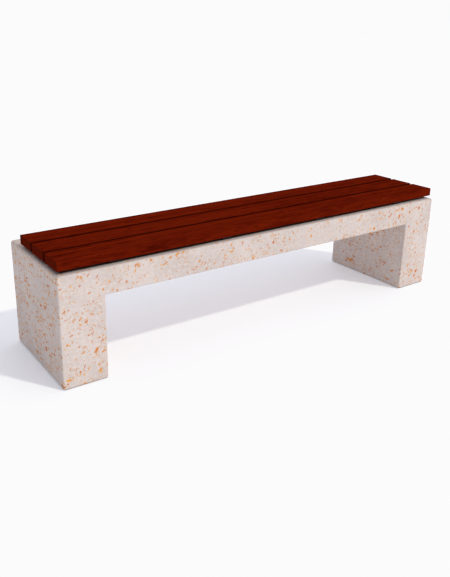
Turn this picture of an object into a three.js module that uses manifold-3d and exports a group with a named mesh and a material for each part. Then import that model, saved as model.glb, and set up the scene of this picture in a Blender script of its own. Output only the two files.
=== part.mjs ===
// Garden bench: one precast concrete body (seat slab and two block legs in one pour) that
// carries a raised seat of three hardwood slats. The slats are screwed from below to four
// flat steel cross bars, and each bar is bolted down through the slab on a rubber pad.
//
// Units are millimetres, +Z is up. The origin is on the ground under the centre of the
// concrete body. X runs along the bench and -Y is the front.

import * as THREE from 'three';
import { mergeVertices } from 'three/addons/utils/BufferGeometryUtils.js';
import Module from 'manifold-3d';

const wasm = await Module();
wasm.setup();

// Concrete body
const BODY_LENGTH = 2000;
const BODY_DEPTH = 480;
const BODY_HEIGHT = 450;
const LEG_LENGTH = 183;
const SLAB_THICKNESS = 109;
const ARRIS_RADIUS = 10;
const END_ARRIS_RADIUS = 5;

// Seat slats
const SLAT_LENGTH = 1986;
const SLAT_WIDTH = 114;
const SLAT_THICKNESS = 38;
const SLAT_GAP = 12;
const SLAT_ARRIS = 3;
const SLAT_END_ARRIS = 2;
const SEAT_CENTRE_Y = -45;
const SLAT_NAMES = ['front', 'middle', 'rear'];

// Cross bars and the rubber pads under them
const BAR_WIDTH = 50;
const BAR_LENGTH = 346;
const BAR_THICKNESS = 8;
const PAD_THICKNESS = 4;
const BAR_POSITIONS = [-760, -255, 255, 760];

// M10 bolts through the slab, each with a wide washer in a counterbore
const BOLT_RADIUS = 5;
const BOLT_LENGTH = 90;
const BOLT_HEAD_RADIUS = 9.8;
const BOLT_HEAD_HEIGHT = 6.4;
const BOLT_TIP_BELOW_BAR_TOP = 0.5;
const BOLT_HOLE_RADIUS = 7;
const WASHER_RADIUS = 15;
const WASHER_BORE_RADIUS = 5.5;
const WASHER_THICKNESS = 2.5;
const COUNTERBORE_RADIUS = 20;

// Countersunk wood screws, two where each slat crosses each bar
const SCREW_LENGTH = 40;
const SCREW_RADIUS = 2.3;
const SCREW_HEAD_RADIUS = 4.8;
const SCREW_HEAD_HEIGHT = 2.8;
const SCREW_POINT_LENGTH = 6;
const SCREW_OFFSET_Y = 32;

// Reinforcement: distances are from a concrete face to the centre of a bar
const MAIN_BAR_RADIUS = 4;
const TIE_BAR_RADIUS = 3;
const BAR_COVER = 35;
const BAR_BEND = 40;
const BAR_FOOT_HEIGHT = 45;
const LOW_BAR_END_GAP = 8;
const INNER_BAR_TOP_GAP = 6;
const WELD_BITE = 0.8;
const BEND_LAP = 2;
const TIE_LAP = 1;
const MAIN_BAR_ROWS = [-195, -45, 195];
const SLAB_TIE_POSITIONS = [-600, -160, 160, 600];
const LEG_TIE_HEIGHTS = [90, 250];
const SPACER_FOOT_RADIUS = 8;
const SPACER_TOP_RADIUS = 5.5;
const SPACER_POSITIONS = [[-600, -130], [-600, 130], [600, -130], [600, 130]];

// CUT_PAST is how far a cutting solid runs past the face that it opens
const CLEARANCE = 0.3;
const CUT_PAST = 5;
const ROUND_SIDES = 12;
const REBAR_SIDES = 6;
const TUNNEL_SIDES = 4;
const HEX_SIDES = 6;
const SCREW_SIDES = 6;
const ARRIS_STEPS = 3;
const SLAT_ARRIS_STEPS = 2;

// Heights and places that follow from the dimensions above
const SLAB_UNDERSIDE = BODY_HEIGHT - SLAB_THICKNESS;
const BAR_UNDERSIDE = BODY_HEIGHT + PAD_THICKNESS;
const SLAT_UNDERSIDE = BAR_UNDERSIDE + BAR_THICKNESS;
const SLAT_PITCH = SLAT_WIDTH + SLAT_GAP;
const SLAT_CENTRES_Y = [-1, 0, 1].map((step) => SEAT_CENTRE_Y + step * SLAT_PITCH);
const BOLT_LINES_Y = [SEAT_CENTRE_Y - SLAT_PITCH / 2, SEAT_CENTRE_Y + SLAT_PITCH / 2];
const BOLT_TIP_HEIGHT = SLAT_UNDERSIDE - BOLT_TIP_BELOW_BAR_TOP;
const BOLT_SEAT_HEIGHT = BOLT_TIP_HEIGHT - BOLT_LENGTH;
const WASHER_TOP = BOLT_SEAT_HEIGHT + CLEARANCE + WASHER_THICKNESS;
const COUNTERBORE_CEILING = WASHER_TOP + CLEARANCE;
const TIE_REACH = MAIN_BAR_RADIUS + TIE_BAR_RADIUS - WELD_BITE;
const LOW_BAR_HEIGHT = SLAB_UNDERSIDE + BAR_COVER;
const LOW_TIE_HEIGHT = LOW_BAR_HEIGHT - TIE_REACH;

const concrete = new THREE.MeshStandardMaterial({ color: 0xdfd2cd, roughness: 0.75, metalness: 0 });
const hardwood = new THREE.MeshStandardMaterial({ color: 0x661806, roughness: 0.5, metalness: 0 });
const blackSteel = new THREE.MeshStandardMaterial({ color: 0x17181a, roughness: 0.55, metalness: 0.2 });
const boltSteel = new THREE.MeshStandardMaterial({ color: 0xb4b6b8, roughness: 0.3, metalness: 1 });
const screwSteel = new THREE.MeshStandardMaterial({ color: 0xa9a9a6, roughness: 0.35, metalness: 1 });
const rubber = new THREE.MeshStandardMaterial({ color: 0x1b1b1c, roughness: 0.9, metalness: 0 });
const rustySteel = new THREE.MeshStandardMaterial({ color: 0x6b4a38, roughness: 0.85, metalness: 0.6 });
const greyPlastic = new THREE.MeshStandardMaterial({ color: 0x77797b, roughness: 0.7, metalness: 0 });

const bench = new THREE.Group();

function addPart(name, geometry, material) {
  const mesh = new THREE.Mesh(geometry, material);
  mesh.name = name;
  bench.add(mesh);
}

// ---- Solids ----

function toSolid(geometry) {
  const bare = geometry.clone();
  bare.deleteAttribute('normal');
  bare.deleteAttribute('uv');
  const merged = mergeVertices(bare, 1e-4);
  return new wasm.Manifold(new wasm.Mesh({
    numProp: 3,
    vertProperties: new Float32Array(merged.attributes.position.array),
    triVerts: new Uint32Array(merged.index.array),
  }));
}

function toGeometry(solid) {
  const mesh = solid.getMesh();
  const geometry = new THREE.BufferGeometry();
  geometry.setAttribute('position', new THREE.BufferAttribute(mesh.vertProperties, 3));
  geometry.setIndex(new THREE.BufferAttribute(mesh.triVerts, 1));
  geometry.computeVertexNormals();
  return geometry;
}

function joinAll(solids) {
  return solids.reduce((joined, solid) => joined.add(solid));
}

function boxSolid(sizeX, sizeY, sizeZ, centreX, centreY, bottomZ) {
  const geometry = new THREE.BoxGeometry(sizeX, sizeY, sizeZ);
  geometry.translate(centreX, centreY, bottomZ + sizeZ / 2);
  return toSolid(geometry);
}

// A body of revolution about a vertical axis: profile points are [radius, height].
function turned(profile, sides, x, y, z) {
  const points = profile.map(([radius, height]) => new THREE.Vector2(radius, height));
  const geometry = new THREE.LatheGeometry(points, sides);
  geometry.rotateX(Math.PI / 2);
  geometry.translate(x, y, z);
  return geometry;
}

function holeSolid(radius, bottomZ, topZ, sides, x, y) {
  const profile = [[0, bottomZ], [radius, bottomZ], [radius, topZ], [0, topZ]];
  return toSolid(turned(profile, sides, x, y, 0));
}

// A straight round bar from one point to another.
function rodSolid(from, to, radius, sides) {
  const start = new THREE.Vector3(...from);
  const end = new THREE.Vector3(...to);
  const direction = end.clone().sub(start);
  const geometry = new THREE.CylinderGeometry(radius, radius, direction.length(), sides);
  const turn = new THREE.Quaternion();
  turn.setFromUnitVectors(new THREE.Vector3(0, 1, 0), direction.clone().normalize());
  geometry.applyQuaternion(turn);
  geometry.translate(...start.add(end).divideScalar(2).toArray());
  return toSolid(geometry);
}

// ---- Reinforcement cage ----

// Along each row: a top bar with a bend and a leg at each end, a bottom bar, and a second
// upright near the inner face of each leg.
function addMainBars(addBar) {
  const outerX = BODY_LENGTH / 2 - BAR_COVER;
  const innerX = BODY_LENGTH / 2 - LEG_LENGTH + BAR_COVER;
  const topZ = BODY_HEIGHT - BAR_COVER;
  const bendX = outerX - BAR_BEND;
  const bendZ = topZ - BAR_BEND;
  const lowReach = outerX - LOW_BAR_END_GAP;
  const lap = BEND_LAP / 2;
  for (const y of MAIN_BAR_ROWS) {
    const besideY = y - Math.sign(y) * (2 * MAIN_BAR_RADIUS - WELD_BITE);
    addBar([-bendX, y, topZ], [bendX, y, topZ], MAIN_BAR_RADIUS);
    addBar([-lowReach, y, LOW_BAR_HEIGHT], [lowReach, y, LOW_BAR_HEIGHT], MAIN_BAR_RADIUS);
    for (const side of [-1, 1]) {
      const bendTop = [side * (bendX + BEND_LAP), y, topZ + lap];
      const bendLow = [side * (outerX + lap), y, bendZ - BEND_LAP];
      const inner = side * innerX;
      addBar(bendTop, bendLow, MAIN_BAR_RADIUS);
      addBar([side * outerX, y, BAR_FOOT_HEIGHT], [side * outerX, y, bendZ + lap], MAIN_BAR_RADIUS);
      const innerTop = topZ - INNER_BAR_TOP_GAP;
      addBar([inner, besideY, BAR_FOOT_HEIGHT], [inner, besideY, innerTop], MAIN_BAR_RADIUS);
    }
  }
}

// Square ties round the main bars: four across the slab and two round each leg.
function addTieBars(addBar) {
  const tieY = MAIN_BAR_ROWS.at(-1) + TIE_REACH;
  const endY = tieY + TIE_BAR_RADIUS;
  const topZ = BODY_HEIGHT - BAR_COVER + TIE_REACH;
  for (const x of SLAB_TIE_POSITIONS) {
    for (const z of [LOW_TIE_HEIGHT, topZ]) {
      addBar([x, -endY, z], [x, endY, z], TIE_BAR_RADIUS);
    }
    for (const y of [-tieY, tieY]) {
      addBar([x, y, LOW_TIE_HEIGHT - TIE_LAP], [x, y, topZ + TIE_LAP], TIE_BAR_RADIUS);
    }
  }
  const innerX = BODY_LENGTH / 2 - LEG_LENGTH + BAR_COVER - TIE_REACH;
  const outerX = BODY_LENGTH / 2 - BAR_COVER + TIE_REACH;
  for (const side of [-1, 1]) {
    for (const z of LEG_TIE_HEIGHTS) {
      for (const x of [side * innerX, side * outerX]) {
        addBar([x, -endY, z], [x, endY, z], TIE_BAR_RADIUS);
      }
      for (const y of [-tieY, tieY]) {
        addBar([side * (innerX - TIE_LAP), y, z], [side * (outerX + TIE_LAP), y, z], TIE_BAR_RADIUS);
      }
    }
  }
}

// The centre lines and radii of every bar in the welded cage.
function cageBars() {
  const bars = [];
  const addBar = (from, to, radius) => bars.push({ from, to, radius });
  addMainBars(addBar);
  addTieBars(addBar);
  return bars;
}

function cageSolid() {
  return joinAll(cageBars().map(({ from, to, radius }) => rodSolid(from, to, radius, REBAR_SIDES)));
}

// The space that the cage fills in the concrete: each bar's tunnel is square, with its
// flats just clear of the bar, and a little longer than the bar.
function cageCavity() {
  const tunnels = cageBars().map(({ from, to, radius }) => {
    const start = new THREE.Vector3(...from);
    const end = new THREE.Vector3(...to);
    const past = end.clone().sub(start).setLength(2 * CLEARANCE);
    const corner = (radius + CLEARANCE) * Math.SQRT2;
    return rodSolid(start.sub(past).toArray(), end.add(past).toArray(), corner, TUNNEL_SIDES);
  });
  return joinAll(tunnels);
}

// The spacer reaches from the slab's underside to the middle of the tie bar it holds.
function spacerProfile(grow) {
  const top = LOW_TIE_HEIGHT - SLAB_UNDERSIDE;
  return [
    [0, -grow], [SPACER_FOOT_RADIUS + grow, -grow],
    [SPACER_TOP_RADIUS + grow, top + grow], [0, top + grow],
  ];
}

function spacerCavity([x, y]) {
  return toSolid(turned(spacerProfile(CLEARANCE), ROUND_SIDES, x, y, SLAB_UNDERSIDE));
}

function spacerSolid([x, y]) {
  const plug = toSolid(turned(spacerProfile(0), ROUND_SIDES, x, y, SLAB_UNDERSIDE));
  const reach = SPACER_FOOT_RADIUS + CUT_PAST;
  const from = [x, y - reach, LOW_TIE_HEIGHT];
  const to = [x, y + reach, LOW_TIE_HEIGHT];
  return plug.subtract(rodSolid(from, to, TIE_BAR_RADIUS + CLEARANCE, ROUND_SIDES));
}

// ---- Concrete body ----

// The front outline: a slab over two legs, with every arris rounded.
function bodyOutline() {
  const half = BODY_LENGTH / 2;
  const inner = half - LEG_LENGTH;
  const round = ARRIS_RADIUS;
  const outline = new THREE.Shape();
  outline.moveTo(-half + round, 0);
  outline.lineTo(-inner - round, 0);
  outline.absarc(-inner - round, round, round, -Math.PI / 2, 0, false);
  outline.lineTo(-inner, SLAB_UNDERSIDE);
  outline.lineTo(inner, SLAB_UNDERSIDE);
  outline.lineTo(inner, round);
  outline.absarc(inner + round, round, round, Math.PI, 1.5 * Math.PI, false);
  outline.lineTo(half - round, 0);
  outline.absarc(half - round, round, round, -Math.PI / 2, 0, false);
  outline.lineTo(half, BODY_HEIGHT - round);
  outline.absarc(half - round, BODY_HEIGHT - round, round, 0, Math.PI / 2, false);
  outline.lineTo(-half + round, BODY_HEIGHT);
  outline.absarc(-half + round, BODY_HEIGHT - round, round, Math.PI / 2, Math.PI, false);
  outline.lineTo(-half, round);
  outline.absarc(-half + round, round, round, Math.PI, 1.5 * Math.PI, false);
  return outline;
}

function bodySolid() {
  const geometry = new THREE.ExtrudeGeometry(bodyOutline(), {
    depth: BODY_DEPTH - 2 * END_ARRIS_RADIUS,
    curveSegments: ARRIS_STEPS,
    bevelEnabled: true,
    bevelThickness: END_ARRIS_RADIUS,
    bevelSize: END_ARRIS_RADIUS,
    bevelOffset: -END_ARRIS_RADIUS,
    bevelSegments: ARRIS_STEPS,
  });
  geometry.rotateX(Math.PI / 2);
  geometry.translate(0, BODY_DEPTH / 2 - END_ARRIS_RADIUS, 0);
  return toSolid(geometry);
}

function addConcreteBody() {
  let body = bodySolid();
  for (const x of BAR_POSITIONS) {
    for (const y of BOLT_LINES_Y) {
      const low = SLAB_UNDERSIDE - CUT_PAST;
      const high = BODY_HEIGHT + CUT_PAST;
      body = body.subtract(holeSolid(BOLT_HOLE_RADIUS, low, high, ROUND_SIDES, x, y));
      body = body.subtract(holeSolid(COUNTERBORE_RADIUS, low, COUNTERBORE_CEILING, ROUND_SIDES, x, y));
    }
  }
  body = body.subtract(cageCavity());
  for (const place of SPACER_POSITIONS) {
    body = body.subtract(spacerCavity(place));
  }
  addPart('concrete_body', toGeometry(body), concrete);
}

function addReinforcement() {
  addPart('rebar_cage', toGeometry(cageSolid()), rustySteel);
  SPACER_POSITIONS.forEach((place, index) => {
    addPart(`rebar_spacer_${index + 1}`, toGeometry(spacerSolid(place)), greyPlastic);
  });
}

// ---- Slats, cross bars and pads ----

function slatSolid(centreY) {
  const high = SLAT_THICKNESS / 2;
  const wide = SLAT_WIDTH / 2;
  const round = SLAT_ARRIS;
  const section = new THREE.Shape();
  section.moveTo(-high + round, -wide);
  section.lineTo(high - round, -wide);
  section.absarc(high - round, -wide + round, round, -Math.PI / 2, 0, false);
  section.lineTo(high, wide - round);
  section.absarc(high - round, wide - round, round, 0, Math.PI / 2, false);
  section.lineTo(-high + round, wide);
  section.absarc(-high + round, wide - round, round, Math.PI / 2, Math.PI, false);
  section.lineTo(-high, -wide + round);
  section.absarc(-high + round, -wide + round, round, Math.PI, 1.5 * Math.PI, false);
  const geometry = new THREE.ExtrudeGeometry(section, {
    depth: SLAT_LENGTH - 2 * SLAT_END_ARRIS,
    curveSegments: SLAT_ARRIS_STEPS,
    bevelEnabled: true,
    bevelThickness: SLAT_END_ARRIS,
    bevelSize: SLAT_END_ARRIS,
    bevelOffset: -SLAT_END_ARRIS,
    bevelSegments: SLAT_ARRIS_STEPS,
  });
  geometry.rotateY(Math.PI / 2);
  geometry.translate(-SLAT_LENGTH / 2 + SLAT_END_ARRIS, centreY, SLAT_UNDERSIDE + high);
  return toSolid(geometry);
}

// Screw places along Y under one slat.
function screwLines(slatY) {
  return [slatY - SCREW_OFFSET_Y, slatY + SCREW_OFFSET_Y];
}

function screwProfile(grow) {
  return [
    [0, -grow], [SCREW_HEAD_RADIUS + grow, -grow],
    [SCREW_RADIUS + grow, SCREW_HEAD_HEIGHT], [SCREW_RADIUS + grow, SCREW_LENGTH - SCREW_POINT_LENGTH],
    [0, SCREW_LENGTH + grow],
  ];
}

function screwHole(x, y) {
  return toSolid(turned(screwProfile(CLEARANCE), SCREW_SIDES, x, y, BAR_UNDERSIDE));
}

function addSlats() {
  SLAT_NAMES.forEach((name, index) => {
    const slatY = SLAT_CENTRES_Y[index];
    let slat = slatSolid(slatY);
    for (const x of BAR_POSITIONS) {
      for (const y of screwLines(slatY)) {
        slat = slat.subtract(screwHole(x, y));
      }
    }
    addPart(`slat_${name}`, toGeometry(slat), hardwood);
  });
}

function crossBarSolid(x) {
  const thickness = BAR_THICKNESS - CLEARANCE;
  const high = SLAT_UNDERSIDE + CUT_PAST;
  let bar = boxSolid(BAR_WIDTH, BAR_LENGTH, thickness, x, SEAT_CENTRE_Y, BAR_UNDERSIDE);
  for (const y of BOLT_LINES_Y) {
    bar = bar.subtract(holeSolid(BOLT_RADIUS + CLEARANCE, BODY_HEIGHT, high, ROUND_SIDES, x, y));
  }
  for (const slatY of SLAT_CENTRES_Y) {
    for (const y of screwLines(slatY)) {
      bar = bar.subtract(screwHole(x, y));
    }
  }
  return bar;
}

function padSolid(x) {
  const thickness = PAD_THICKNESS - CLEARANCE;
  const low = BODY_HEIGHT - CUT_PAST;
  const high = BAR_UNDERSIDE + CUT_PAST;
  let pad = boxSolid(BAR_WIDTH, BAR_LENGTH, thickness, x, SEAT_CENTRE_Y, BODY_HEIGHT);
  for (const y of BOLT_LINES_Y) {
    pad = pad.subtract(holeSolid(BOLT_HOLE_RADIUS, low, high, ROUND_SIDES, x, y));
  }
  return pad;
}

function addCrossBars() {
  BAR_POSITIONS.forEach((x, index) => {
    addPart(`cross_bar_${index + 1}`, toGeometry(crossBarSolid(x)), blackSteel);
    addPart(`bar_pad_${index + 1}`, toGeometry(padSolid(x)), rubber);
  });
}

// ---- Fasteners ----

function boltGeometry(x, y) {
  const headProfile = [
    [0, -BOLT_HEAD_HEIGHT], [BOLT_HEAD_RADIUS, -BOLT_HEAD_HEIGHT], [BOLT_HEAD_RADIUS, 0], [0, 0],
  ];
  const head = toSolid(turned(headProfile, HEX_SIDES, x, y, BOLT_SEAT_HEIGHT));
  const shankFoot = BOLT_SEAT_HEIGHT - BOLT_HEAD_HEIGHT / 2;
  const shank = holeSolid(BOLT_RADIUS, shankFoot, BOLT_TIP_HEIGHT, ROUND_SIDES, x, y);
  return toGeometry(head.add(shank));
}

function washerGeometry(x, y) {
  const low = BOLT_SEAT_HEIGHT + CLEARANCE;
  const disc = holeSolid(WASHER_RADIUS, low, WASHER_TOP, ROUND_SIDES, x, y);
  const bore = holeSolid(WASHER_BORE_RADIUS, low - CUT_PAST, WASHER_TOP + CUT_PAST, ROUND_SIDES, x, y);
  return toGeometry(disc.subtract(bore));
}

function addBolts() {
  BAR_POSITIONS.forEach((x, index) => {
    ['front', 'rear'].forEach((row, line) => {
      const y = BOLT_LINES_Y[line];
      addPart(`bolt_${index + 1}_${row}`, boltGeometry(x, y), boltSteel);
      addPart(`washer_${index + 1}_${row}`, washerGeometry(x, y), boltSteel);
    });
  });
}

function addScrews() {
  BAR_POSITIONS.forEach((x, bar) => {
    SLAT_NAMES.forEach((name, slat) => {
      screwLines(SLAT_CENTRES_Y[slat]).forEach((y, side) => {
        const geometry = turned(screwProfile(0), SCREW_SIDES, x, y, BAR_UNDERSIDE);
        const label = ['a', 'b'][side];
        addPart(`screw_${bar + 1}_${name}_${label}`, geometry, screwSteel);
      });
    });
  });
}

addConcreteBody();
addReinforcement();
addSlats();
addCrossBars();
addBolts();
addScrews();

export default bench;
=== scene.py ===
"""Looks for the garden bench: a speckled precast concrete body, three stained hardwood
slats on coated steel bars, and the fasteners that hold them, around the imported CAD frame."""

import math
from collections import namedtuple

import bmesh
import bpy
from mathutils import Matrix, Vector, noise


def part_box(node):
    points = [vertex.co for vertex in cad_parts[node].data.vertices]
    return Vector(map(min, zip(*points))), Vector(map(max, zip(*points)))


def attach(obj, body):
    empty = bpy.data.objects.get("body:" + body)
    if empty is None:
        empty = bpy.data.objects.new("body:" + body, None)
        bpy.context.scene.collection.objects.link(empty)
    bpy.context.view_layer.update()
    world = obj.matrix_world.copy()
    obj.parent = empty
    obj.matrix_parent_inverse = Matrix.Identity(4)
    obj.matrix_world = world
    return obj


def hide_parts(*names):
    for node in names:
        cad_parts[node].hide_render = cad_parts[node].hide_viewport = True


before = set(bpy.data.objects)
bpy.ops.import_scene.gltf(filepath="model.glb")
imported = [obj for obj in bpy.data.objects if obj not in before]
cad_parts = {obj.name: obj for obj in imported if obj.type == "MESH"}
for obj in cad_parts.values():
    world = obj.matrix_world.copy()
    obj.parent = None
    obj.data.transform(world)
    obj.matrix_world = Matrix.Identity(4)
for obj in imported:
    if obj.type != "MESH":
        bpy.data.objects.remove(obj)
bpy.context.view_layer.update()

MM = 0.001

# Names in the frame
BARS = (1, 2, 3, 4)
SPACERS = (1, 2, 3, 4)
ROWS = ("front", "rear")
SLATS = ("front", "middle", "rear")
SIDES = ("a", "b")

# Meshes: GRID_MARGIN is the share of a grid step kept clear next to a rounded edge
ARC_STEPS = 5
GRID_MARGIN = 0.35
GRID_EDGE = 0.1 * MM
WELD_DISTANCE = 1e-6
CAP_SLOT = 1
SMOOTH_ANGLE = 35
STEEL_SMOOTH_ANGLE = 28

# Concrete body
LEG_LENGTH = 183 * MM
SLAB_THICKNESS = 109 * MM
TOP_CORNER_RADIUS = 12 * MM
FOOT_CORNER_RADIUS = 10.5 * MM
INNER_CORNER_RADIUS = 4 * MM
FACE_ARRIS = 5 * MM
BODY_GRID = 20 * MM
FOOT_FLAT = 0.01 * MM

# Holes in the slab's underside
COUNTERBORE_RADIUS = 20 * MM
COUNTERBORE_ROUND = 1 * MM
COUNTERBORE_SIDES = 64
WASHER_HEADROOM = 0.3 * MM
RIM_FLARE = 1.5 * MM
RIM_LIP = 0.4 * MM
RIM_LIP_HEIGHT = 0.5 * MM
CUT_PAST = 5 * MM

# Unevenness of the cast faces. The waves are counted per metre, and a point is on an arris
# where its normal leans off the axes by more than ARRIS_SHARE.
CASTING_DEPTH = 0.12 * MM
CASTING_WAVE = 9
WEAR_DEPTH = 0.5 * MM
WEAR_WAVE = 24
WEAR_SHIFT = Vector((7, 3, 1))
CHIP_DEPTH = 1.1 * MM
CHIP_WAVE = 62
CHIP_SHIFT = Vector((2, 9, 4))
CHIP_START = 0.42
CHIP_RANGE = 0.3
ARRIS_SHARE = 0.12

# Slats. The planing waves are counted per metre along X, Y and Z.
SLAT_CORNER_RADIUS = 3 * MM
SLAT_CORNER_STEPS = 4
SLAT_END_ARRIS = 2 * MM
SLAT_END_STEPS = 3
SLAT_GRID = 15 * MM
BOARD_SHIFT = (1.7, 0.9)
LONG_WAVE_DEPTH = 0.18 * MM
LONG_WAVE = (2.2, 9, 9)
TOOL_WAVE_DEPTH = 0.05 * MM
TOOL_WAVE = (30, 60, 60)

# Cross bars and their pads
BAR_CORNER_RADIUS = 1 * MM
BAR_CORNER_STEPS = 3
BAR_END_ARRIS = 0.8 * MM
BAR_END_STEPS = 2
BAR_GRID = 12 * MM
BAR_CUT_REACH = 10 * MM
BAR_CUT_PAST = 2 * MM
BAR_CUT_DEPTH = 12 * MM
PAD_ROUND = 1.2 * MM
PAD_ROUND_STEPS = 4
PAD_EDGE = 1.3 * MM
PAD_BULGE = 0.4 * MM
PAD_RIPPLE = 0.3
PAD_RIPPLE_WAVE = 60

# Bolts. Heights are from the face of the head, and the thread's from the tip.
BOLT_RADIUS = 5 * MM
BOLT_CLEARANCE = 0.15 * MM
BOLT_SIDES = 36
BOLT_HOLE_SIDES = 40
BOLT_HEAD_HEIGHT = 6.4 * MM
BOLT_HEAD_APOTHEM = 8.5 * MM
BOLT_HEAD_REACH = 9.8 * MM
BOLT_HEAD_CHAMFER = 1 * MM
BOLT_DISH_RADIUS = 5 * MM
BOLT_DISH_RIM = 5.8 * MM
BOLT_DISH_DEPTH = 0.5 * MM
BOLT_FACE_RADIUS = 8 * MM
BOLT_FACE_EDGE = 8.6 * MM
BOLT_FACE_ROUND = 0.25 * MM
BOLT_BEARING_RADIUS = 9.2 * MM
BOLT_BEARING_ROUND = 0.6 * MM
BOLT_NECK_RADIUS = 5.4 * MM
BOLT_NECK_ROUND = 0.4 * MM
BOLT_THREAD_ROOT = 4.1 * MM
BOLT_THREAD_PITCH = 1.5 * MM
BOLT_THREAD_START = 26 * MM
BOLT_THREAD_LENGTH = 24.5 * MM
BOLT_THREAD_RUNOUT = 1 * MM
BOLT_THREAD_RINGS = 66
BOLT_TIP_RADIUS = 4 * MM

# Washers
WASHER_CLEARANCE = 0.25 * MM
WASHER_ROUND = 0.35 * MM
WASHER_SIDES = 56

# Screws. Heights are from the face of the head, which has a six-lobed socket.
SCREW_RADIUS = 2.4 * MM
SCREW_CLEARANCE = 0.3 * MM
SCREW_SIDES = 18
SCREW_HOLE_SIDES = 32
SCREW_HEAD_RADIUS = 4.8 * MM
SCREW_HEAD_HEIGHT = 2.8 * MM
SCREW_HEAD_CLEARANCE = 0.2 * MM
SCREW_HEAD_ROUND = 0.3 * MM
SCREW_HEAD_RIM = 0.25 * MM
SOCKET_RADIUS = 1.75 * MM
SOCKET_LOBE = 0.32 * MM
SOCKET_LOBES = 6
SOCKET_DEPTH = 1.8 * MM
SOCKET_ROUND = 0.1 * MM
SOCKET_RIM = 2.3 * MM
SCREW_NECK_RADIUS = 1.75 * MM
SCREW_SHANK_RADIUS = 1.7 * MM
SCREW_SHANK_END = 11 * MM
SCREW_THREAD_ROOT = 1.5 * MM
SCREW_THREAD_PITCH = 2.4 * MM
SCREW_THREAD_START = 12 * MM
SCREW_THREAD_RINGS = 44
SCREW_POINT_LENGTH = 6 * MM
SCREW_TIP = 1 * MM

# Spacers. Their foot has a dimple in the middle and a groove near its rim.
SPACER_CLEARANCE = 0.25 * MM
SPACER_SIDES = 40
SPACER_INSET = 0.1 * MM
SPACER_GROOVE = (1.6 * MM, 1.2 * MM, 0.8 * MM)
SPACER_GROOVE_DEPTH = 0.5 * MM
SPACER_DIMPLE_RADIUS = 2.2 * MM
SPACER_DIMPLE_RIM = 2.6 * MM
SPACER_FOOT_ROUND = 0.3 * MM
SPACER_FOOT_EDGE = 0.4 * MM
SPACER_NECK_SHARE = 0.7
SPACER_NECK_DROP = 3 * MM
SPACER_TOP_SHARE = 0.6

# Floor
FLOOR_REACH = 40.0
FLOOR_CELLS = 8
FLOOR_SHADE = (0.80, 0.805, 0.82)
FLOOR_TINTS = (0.993, 1.007)
FLOOR_GLOW = 0.21
FLOOR_GLOW_COLOUR = (0.95, 0.985, 1.08, 1.0)

# Sky, where left and right are ends of the X axis
SKY_COLOUR = (1.0, 1.0, 1.07, 1.0)
SKY_LEFT = 0.45
SKY_RIGHT = 1.20
SKY_CHANGE = (-0.9, 0.3)
SKY_ZENITH_DROP = 0.26
BACKDROP_COLOUR = (1.0, 1.0, 1.0, 1.0)

# Sun, with angles in degrees and the azimuth from straight in front towards +X
SUN_COLOUR = (1.0, 0.99, 0.87)
SUN_STRENGTH = 1.31
SUN_ELEVATION = 47.9
SUN_AZIMUTH = 33.6
SUN_WIDTH = 3.0

# Camera, with angles in degrees
CAMERA_PLACE = Vector((-1.785, -2.295, 1.306))
CAMERA_AZIMUTH = -33.62
CAMERA_ELEVATION = 19.17
CAMERA_ROLL = 0.41
CAMERA_LENS = 41.70
CAMERA_SHIFT = (0.0488, -0.0697)
CAMERA_CLIP_END = 200

# Display tones
COMBINED_CURVE = 3
TONE_KNEE = 0.86
TONE_WHITE = 0.965


# ---------------------------------------------------------------- mesh helpers


def outline_points(corners, step, arc_steps=ARC_STEPS):
    """(point, outward normal) pairs round a counter-clockwise outline of square corners.

    corners holds (point, radius) pairs. Straight runs get a point at each multiple of step."""
    found = []
    count = len(corners)
    for index, (corner, radius) in enumerate(corners):
        following, next_radius = corners[(index + 1) % count]
        into = (corner - corners[index - 1][0]).normalized()
        out = (following - corner).normalized()
        outward = 1 if into.x * out.y - into.y * out.x > 0 else -1
        centre = corner - into * radius + out * radius
        for k in range(arc_steps + 1):
            angle = math.pi / 2 * k / arc_steps
            spoke = into * math.sin(angle) - out * math.cos(angle)
            found.append((centre + spoke * radius, spoke * outward))
        along = 0 if abs(out.x) > abs(out.y) else 1
        start = (corner + out * radius)[along]
        stop = (following - out * next_radius)[along]
        low, high = min(start, stop), max(start, stop)
        first = math.ceil((low + GRID_MARGIN * step) / step)
        last = math.floor((high - GRID_MARGIN * step) / step)
        marks = range(first, last + 1)
        for mark in marks if stop > start else reversed(marks):
            point = corner.copy()
            point[along] = mark * step
            found.append((point, Vector((out.y, -out.x))))
    return found


def stations(low, high, arris, step, arc_steps=ARC_STEPS):
    """(position, inset) pairs from one end of a prism to the other, with both ends rounded."""
    ends = []
    for k in range(arc_steps + 1):
        angle = math.pi / 2 * k / arc_steps
        ends.append((arris * (1 - math.cos(angle)), arris * (1 - math.sin(angle))))
    first = math.ceil((low + arris + GRID_MARGIN * step) / step)
    last = math.floor((high - arris - GRID_MARGIN * step) / step)
    start = [(low + depth, inset) for depth, inset in ends]
    middle = [(mark * step, 0.0) for mark in range(first, last + 1)]
    finish = [(high - depth, inset) for depth, inset in reversed(ends)]
    return start + middle + finish


def join_rings(bm, rings):
    """Joins each ring of vertices to the next one. All have the same number of vertices."""
    for ring, following in zip(rings, rings[1:]):
        for k in range(len(ring)):
            nxt = (k + 1) % len(ring)
            bm.faces.new((ring[k], ring[nxt], following[nxt], following[k]))


def swept(outline, stops, place):
    """A closed prism: outline swept through stops, where place(a, b, position) gives xyz.

    Its flat end faces are marked with CAP_SLOT."""
    bm = bmesh.new()
    rings = []
    for position, inset in stops:
        rings.append([bm.verts.new(place(*(p - n * inset), position)) for p, n in outline])
    join_rings(bm, rings)
    for ring in (rings[0], rings[-1]):
        bm.faces.new(ring).material_index = CAP_SLOT
    bmesh.ops.recalc_face_normals(bm, faces=bm.faces)
    return bm


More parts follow.
